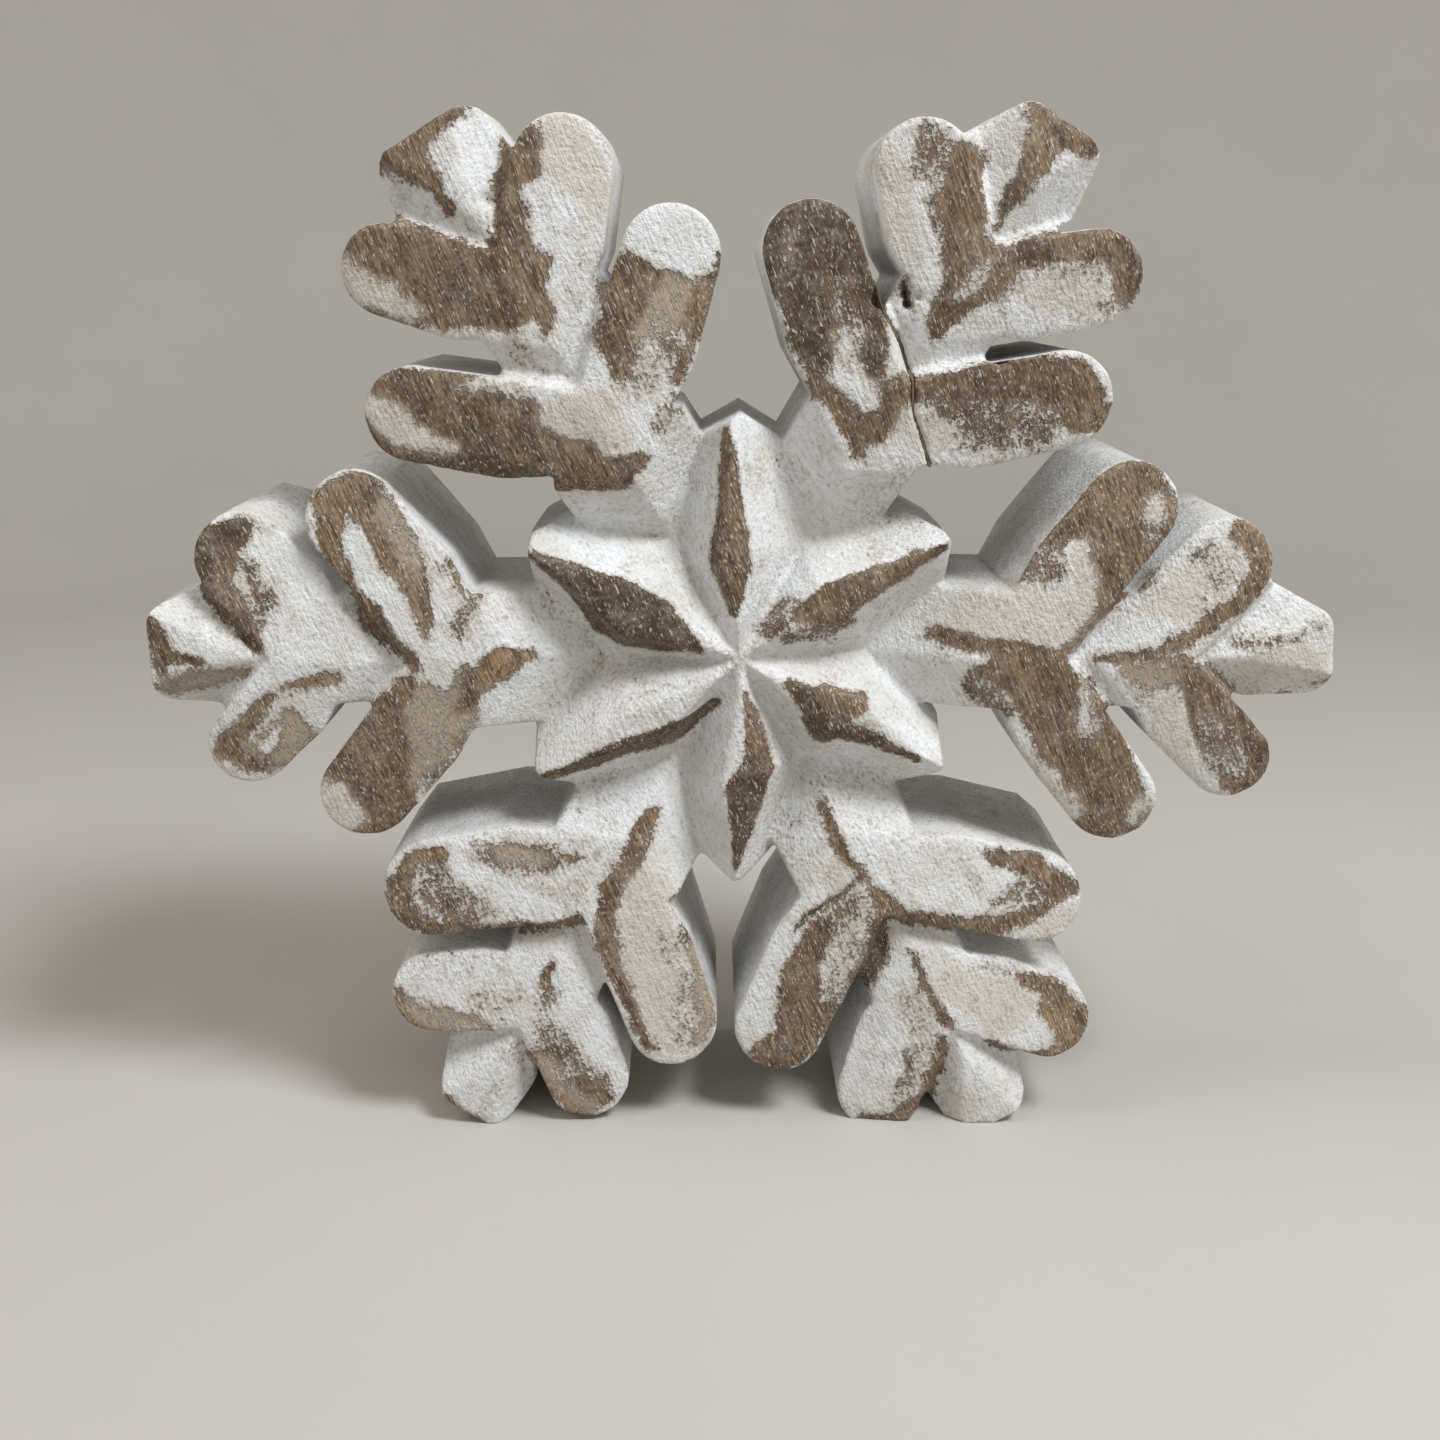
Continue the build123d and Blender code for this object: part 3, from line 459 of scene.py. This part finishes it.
def carved_relief(piece):
    """Rounds the edges, crowns the petals, and gives the surface its tool marks and dents."""
    shape = piece.data
    edges = read(shape, "edges", "vertices", 2, np.int32)
    sharp = read(shape, "vertices", "co", 3) / MM
    split = np.abs(chain_distance(on_arm(sharp, SPLIT_HEADING), SPLIT_LINE))
    loose = 0.5 * ramp(split, *SPLIT_KEPT_SHARP)[:, None]
    points = relaxed(sharp.astype(float), edges, EDGE_ROUNDS, loose)
    smooth = relaxed(points, edges, CROWN_ROUNDS)

    # 1 on the carved face, 0 on the walls and the back: the broad slope and the point's own
    set_points(shape, smooth)
    facing = ramp(-read(shape, "vertex_normals", "vector", 3)[:, 1], 0.1, 0.75)
    set_points(shape, points)
    normals = read(shape, "vertex_normals", "vector", 3).astype(float)
    facing = np.maximum(facing * ramp(-normals[:, 1], -0.2, 0.3), ramp(-normals[:, 1], 0.35, 0.8))

    # edges that the rounding took down are rubbed bare, here and there
    wear = worn(points, facing)
    edge = ramp(np.sum((sharp - points) * normals, axis=1), EDGE_LOSS, 3 * EDGE_LOSS)
    patchy = ramp(noise(points + 17, 5.0), -0.25, 0.35)
    wear[:, 0] = np.maximum(wear[:, 0], EDGE_WEAR * edge * patchy)

    # the petals are crowned, the star isn't
    reach = np.hypot(points[:, 0] - STAR[0], points[:, 2] - STAR[2])
    crown = CROWN * facing * ramp(reach, *CROWN_START) * ramp(split, *SPLIT_UNCROWNED)
    sink = crown * (smooth[:, 1] - points[:, 1])
    dent(sink, points, facing)

    knife = 0.11 * noise(points, (7.0, 9.0, 7.0)) + 0.06 * noise(points + 40, (2.2, 3.0, 2.2))
    grit = 0.03 * noise(points + 80, 0.9)
    paint = PAINT * (1 - ramp(wear[:, 0], 0.3, 0.7))
    rise = paint - PAINT + knife * (0.4 + 0.6 * facing) + grit
    moved = points + normals * rise[:, None]
    moved[:, 1] += sink
    set_points(shape, np.clip(moved, LOW, HIGH))

    for name, values in (("bare", wear[:, 0]), ("cream", wear[:, 1]), ("dark", wear[:, 2])):
        shape.attributes.new(name, "FLOAT", "POINT").data.foreach_set("value", values.astype(np.float32))
    return facing


def thin_out(piece, facing, faces):
    """Takes faces away, from the plain walls and back before the carved face."""
    have = sum(len(face.vertices) - 2 for face in piece.data.polygons)
    group = piece.vertex_groups.new(name="plain")
    steps = 4
    for step in range(1, steps + 1):
        members = np.flatnonzero(np.round((1 - facing) * steps) == step)
        group.add(members.tolist(), step / steps, "REPLACE")
    thin = piece.modifiers.new("thin", "DECIMATE")
    thin.ratio = min(1.0, faces / have)
    thin.vertex_group = group.name
    thin.vertex_group_factor = 1.0
    apply_modifiers(piece)
    piece.vertex_groups.clear()
    set_points(piece.data, np.clip(read(piece.data, "vertices", "co", 3) / MM, LOW, HIGH))


def make_wood(name, faces, material):
    """A piece of wood, carved in fine detail, that stands for the CAD node of that name."""
    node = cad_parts[name]
    piece = fine_net(node)
    facing = carved_relief(piece)
    thin_out(piece, facing, faces)
    piece.data.shade_smooth()
    piece.data.materials.clear()
    piece.data.materials.append(material)
    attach(piece, "root")
    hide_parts(name)


# --- materials -----------------------------------------------------------------------------------
class Tree:
    """A material's nodes, made one call at a time."""

    def __init__(self, name):
        self.material = bpy.data.materials.new(name)
        self.material.use_nodes = True
        self.nodes = self.material.node_tree.nodes
        self.links = self.material.node_tree.links
        self.shader = self.nodes["Principled BSDF"]

    def put(self, socket, value):
        if isinstance(value, bpy.types.NodeSocket):
            self.links.new(value, socket)
        else:
            socket.default_value = value

    def add(self, kind, values, **settings):
        made = self.nodes.new("ShaderNode" + kind)
        for key, value in settings.items():
            setattr(made, key, value)
        for key, value in values.items():
            self.put(made.inputs[key], value)
        return made

    def attribute(self, name):
        return self.add("Attribute", {}, attribute_name=name).outputs["Fac"]

    def places(self, turn, size):
        """The row frame's places in mm, turned about Y and divided by `size` on each axis."""
        source = self.add("TexCoord", {}).outputs["Object"]
        turned = self.add("VectorRotate", {"Vector": source, "Angle": turn}, rotation_type="Y_AXIS")
        scale = [1 / MM / s for s in size]
        return self.add("VectorMath", {0: turned.outputs[0], 1: scale}, operation="MULTIPLY").outputs[0]

    def noise(self, places, detail=2.0, roughness=0.5, distortion=0.0):
        return self.add("TexNoise", {"Vector": places, "Scale": 1.0, "Detail": detail,
                                     "Roughness": roughness, "Distortion": distortion}).outputs["Fac"]

    def ramp(self, value, low, high, start=0.0, end=1.0):
        return self.add("MapRange", {"Value": value, "From Min": low, "From Max": high,
                                     "To Min": start, "To Max": end},
                        interpolation_type="SMOOTHSTEP").outputs[0]

    def maths(self, operation, one, other):
        return self.add("Math", {0: one, 1: other}, operation=operation).outputs[0]

    def mix(self, share, one, other):
        made = self.add("Mix", {}, data_type="RGBA")
        self.put(made.inputs[0], share)
        self.put(made.inputs[6], one)
        self.put(made.inputs[7], other)
        return made.outputs[2]


def colour(red, green, blue):
    """A colour given as a screen shows it, 0 to 255, as Blender mixes it."""
    linear = [((c / 255 + 0.055) / 1.055) ** 2.4 for c in (red, green, blue)]
    return (*linear, 1.0)


GRAIN_TILT = math.radians(22)       # the wood's fibres lean this much to the left of upright
BRUSH_TILT = math.radians(35)       # and the brush strokes lean this much


def whitewashed_wood():
    tree = Tree("whitewashed_wood")
    bare, cream, dark = (tree.attribute(name) for name in ("bare", "cream", "dark"))

    fibres = tree.noise(tree.places(GRAIN_TILT, (0.26, 0.26, 7.0)), 3.0, 0.65)
    bands = tree.noise(tree.places(GRAIN_TILT, (3.0, 3.0, 35.0)), 3.0, 0.6, 0.3)
    dashes = tree.noise(tree.places(GRAIN_TILT, (0.20, 0.20, 0.75)), 1.0, 0.4)
    streaks = tree.noise(tree.places(GRAIN_TILT, (0.40, 0.40, 4.0)), 3.0, 0.6)
    specks = tree.noise(tree.places(0.0, (0.50, 0.50, 0.50)), 2.0, 0.6)
    blots = tree.noise(tree.places(0.0, (2.6, 2.6, 2.6)), 3.0, 0.6)
    brush = tree.noise(tree.places(BRUSH_TILT, (0.7, 0.7, 9.0)), 3.0, 0.6)
    stipple = tree.noise(tree.places(0.0, (0.55, 0.55, 0.55)), 3.0, 0.6)
    clouds = tree.noise(tree.places(0.0, (7.0, 7.0, 7.0)), 3.0, 0.55)

    # where the wood shows: the strokes, broken up along the grain, into specks and into blots
    shown = bare
    for what, much in ((streaks, 0.8), (specks, 1.1), (blots, 0.7)):
        shown = tree.add("Math", {0: what, 1: much, 2: shown}, operation="MULTIPLY_ADD").outputs[0]
    shown = tree.maths("SUBTRACT", shown, 1.3)      # half of what the three add at most
    wood_share = tree.ramp(shown, 0.38, 0.60)

    # the wood: bands, fine fibres, a pale veil of paint, and pores that hold paint
    brown = tree.mix(tree.ramp(bands, 0.35, 0.65), colour(99, 79, 59), colour(134, 112, 87))
    brown = tree.mix(tree.ramp(dark, 0.0, 0.5, 0.6, 0.0), brown, colour(168, 138, 102))
    brown = tree.mix(tree.ramp(fibres, 0.42, 0.60, 0.0, 0.78), brown, colour(56, 43, 32))
    brown = tree.mix(tree.ramp(streaks, 0.56, 0.68, 0.0, 0.45), brown, colour(178, 162, 140))
    # darker wood: the wood's own tone, and painted shade in the upper right arm's dents
    brown = tree.mix(tree.ramp(dark, 0.5, 1.0, 0.0, 0.75), brown, colour(64, 49, 36))
    veil = tree.add("Math", {0: specks, 1: 1.0, 2: cream}, operation="MULTIPLY_ADD").outputs[0]
    veil = tree.add("Math", {0: blots, 1: -1.0, 2: veil}, operation="MULTIPLY_ADD").outputs[0]
    brown = tree.mix(tree.ramp(veil, 0.1, 1.0, 0.0, 0.65), brown, colour(186, 174, 158))
    wood = tree.mix(tree.ramp(dashes, 0.63, 0.70, 0.0, 0.7), brown, colour(206, 198, 186))

    # the paint: white to cream, thinner along the brush strokes, with painted shade in the stipple's low pits
    white = tree.mix(tree.ramp(clouds, 0.35, 0.65, 0.0, 0.6), colour(228, 232, 236), colour(204, 202, 196))
    white = tree.mix(tree.ramp(cream, 0.2, 1.0, 0.0, 0.85), white, colour(206, 200, 190))
    white = tree.mix(tree.ramp(brush, 0.45, 0.70, 0.0, 0.35), white, colour(190, 182, 170))
    white = tree.mix(tree.ramp(shown, 0.05, 0.38, 0.0, 0.6), white, colour(166, 152, 136))
    # painted shade: where the stipple bump sinks, the paint is darkened towards grey
    white = tree.mix(tree.ramp(stipple, 0.32, 0.50, 0.35, 0.0), white, colour(168, 160, 148))

    tree.put(tree.shader.inputs["Base Color"], tree.mix(wood_share, white, wood))
    tree.put(tree.shader.inputs["Roughness"], tree.ramp(wood_share, 0.0, 1.0, 0.52, 0.68))
    tree.shader.inputs["Specular IOR Level"].default_value = 0.35

    # the surface: stippled paint with a raised edge, and open fibres in the wood
    paint_rise = tree.maths("ADD", tree.maths("MULTIPLY", stipple, 1.3), tree.maths("MULTIPLY", streaks, 1.1))
    paint_rise = tree.maths("ADD", paint_rise, 0.4)
    wood_rise = tree.maths("MULTIPLY", fibres, 0.8)
    height = tree.add("Mix", {0: wood_share, 2: paint_rise, 3: wood_rise}).outputs[0]
    bump = tree.add("Bump", {"Strength": 1.0, "Distance": 0.22 * MM, "Height": height})
    tree.put(tree.shader.inputs["Normal"], bump.outputs[0])
    return tree.material


def dried_glue():
    tree = Tree("dried_glue")
    cloudy = tree.noise(tree.places(0.0, (0.8, 0.8, 0.8)), 2.0)
    tree.put(tree.shader.inputs["Base Color"],
             tree.mix(cloudy, colour(128, 110, 88), colour(84, 68, 52)))
    tree.put(tree.shader.inputs["Roughness"], tree.ramp(cloudy, 0.3, 0.7, 0.3, 0.5))
    return tree.material


# --- the glue in the split -----------------------------------------------------------------------
GLUE_SHORT = 0.25       # the film stops this far behind the carved face


def make_glue(material):
    """The film of glue, a little short of the carved face, so that the split shows as a line."""
    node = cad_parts["glue_film"]
    piece = bpy.data.objects.new("glue_film_dried", node.data.copy())
    bpy.context.scene.collection.objects.link(piece)
    points = read(piece.data, "vertices", "co", 3) / MM
    front = points[:, 1] < 0
    points[front, 1] += GLUE_SHORT
    set_points(piece.data, points)
    piece.data.materials.clear()
    piece.data.materials.append(material)
    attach(piece, "root")
    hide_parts("glue_film")


# --- the studio ------------------------------------------------------------------------------------
def pale_floor():
    tree = Tree("pale_floor")
    cloud = tree.noise(tree.places(0.0, (60.0, 60.0, 60.0)), 2.0)
    tree.put(tree.shader.inputs["Base Color"],
             tree.mix(cloud, colour(184, 180, 174), colour(190, 186, 180)))
    tree.shader.inputs["Roughness"].default_value = 0.75
    return tree.material


def make_floor():
    """A round floor that curves up into a backdrop all round the ornament."""
    radius, bend, top, sides, steps = 0.62, 0.22, 0.75, 96, 16
    profile = []
    for step in range(steps + 1):
        turn = math.pi / 2 * step / steps
        profile.append((radius - bend + bend * math.sin(turn), bend - bend * math.cos(turn)))
    profile.append((radius, top))
    points = [(0.0, 0.0, 0.0)]
    for across, z in profile:
        for side in range(sides):
            angle = 2 * math.pi * side / sides
            points.append((across * math.cos(angle), across * math.sin(angle), z))
    faces = [(0, 1 + side, 1 + (side + 1) % sides) for side in range(sides)]
    for ring in range(len(profile) - 1):
        start = 1 + ring * sides
        for side in range(sides):
            after = (side + 1) % sides
            faces.append((start + side, start + sides + side, start + sides + after, start + after))
    shape = bpy.data.meshes.new("floor")
    shape.from_pydata(points, [], faces)
    shape.shade_smooth()
    shape.materials.append(pale_floor())
    floor = bpy.data.objects.new("floor", shape)
    bpy.context.scene.collection.objects.link(floor)


def make_light(name, place, size, power, tint):
    """A square lamp, aimed at the star."""
    lamp = bpy.data.lights.new(name, "AREA")
    lamp.size = size
    lamp.energy = power
    lamp.color = tint
    light = bpy.data.objects.new(name, lamp)
    light.location = place
    aim = Vector(STAR * MM) - Vector(place)
    light.rotation_euler = aim.to_track_quat("-Z", "Y").to_euler()
    bpy.context.scene.collection.objects.link(light)


def make_studio():
    """A cool key light from the upper right, a warm fill from the upper left, and a dim room."""
    make_floor()
    make_light("key", place=(0.30, -0.26, 0.60), size=0.20, power=4.45, tint=(0.955, 0.975, 1.0))
    make_light("fill", place=(-0.34, -0.08, 0.58), size=0.4, power=1.5, tint=(1.0, 0.96, 0.90))
    world = bpy.data.worlds.new("soft_room")
    world.use_nodes = True
    background = world.node_tree.nodes["Background"]
    background.inputs["Color"].default_value = (0.90, 0.85, 0.78, 1)
    background.inputs["Strength"].default_value = 0.12
    bpy.context.scene.world = world
    bpy.context.scene.view_settings.view_transform = "Standard"


def make_camera():
    """In front of the ornament, a little above its middle and tilted down."""
    lens = bpy.data.cameras.new("camera")
    lens.sensor_width = 36.0
    lens.lens = 41.07
    lens.clip_start = 0.01
    camera = bpy.data.objects.new("camera", lens)
    camera.location = (-0.00526, -0.21830, 0.11380)
    camera.rotation_euler = [math.radians(a) for a in (74.620, -0.202, -0.614)]
    bpy.context.scene.collection.objects.link(camera)
    bpy.context.scene.camera = camera


wood = whitewashed_wood()
make_wood("carved_snowflake", FACES, wood)
make_wood("glued_back_arm_end", FACES // SMALL_PIECE, wood)
make_glue(dried_glue())
make_studio()
make_camera()
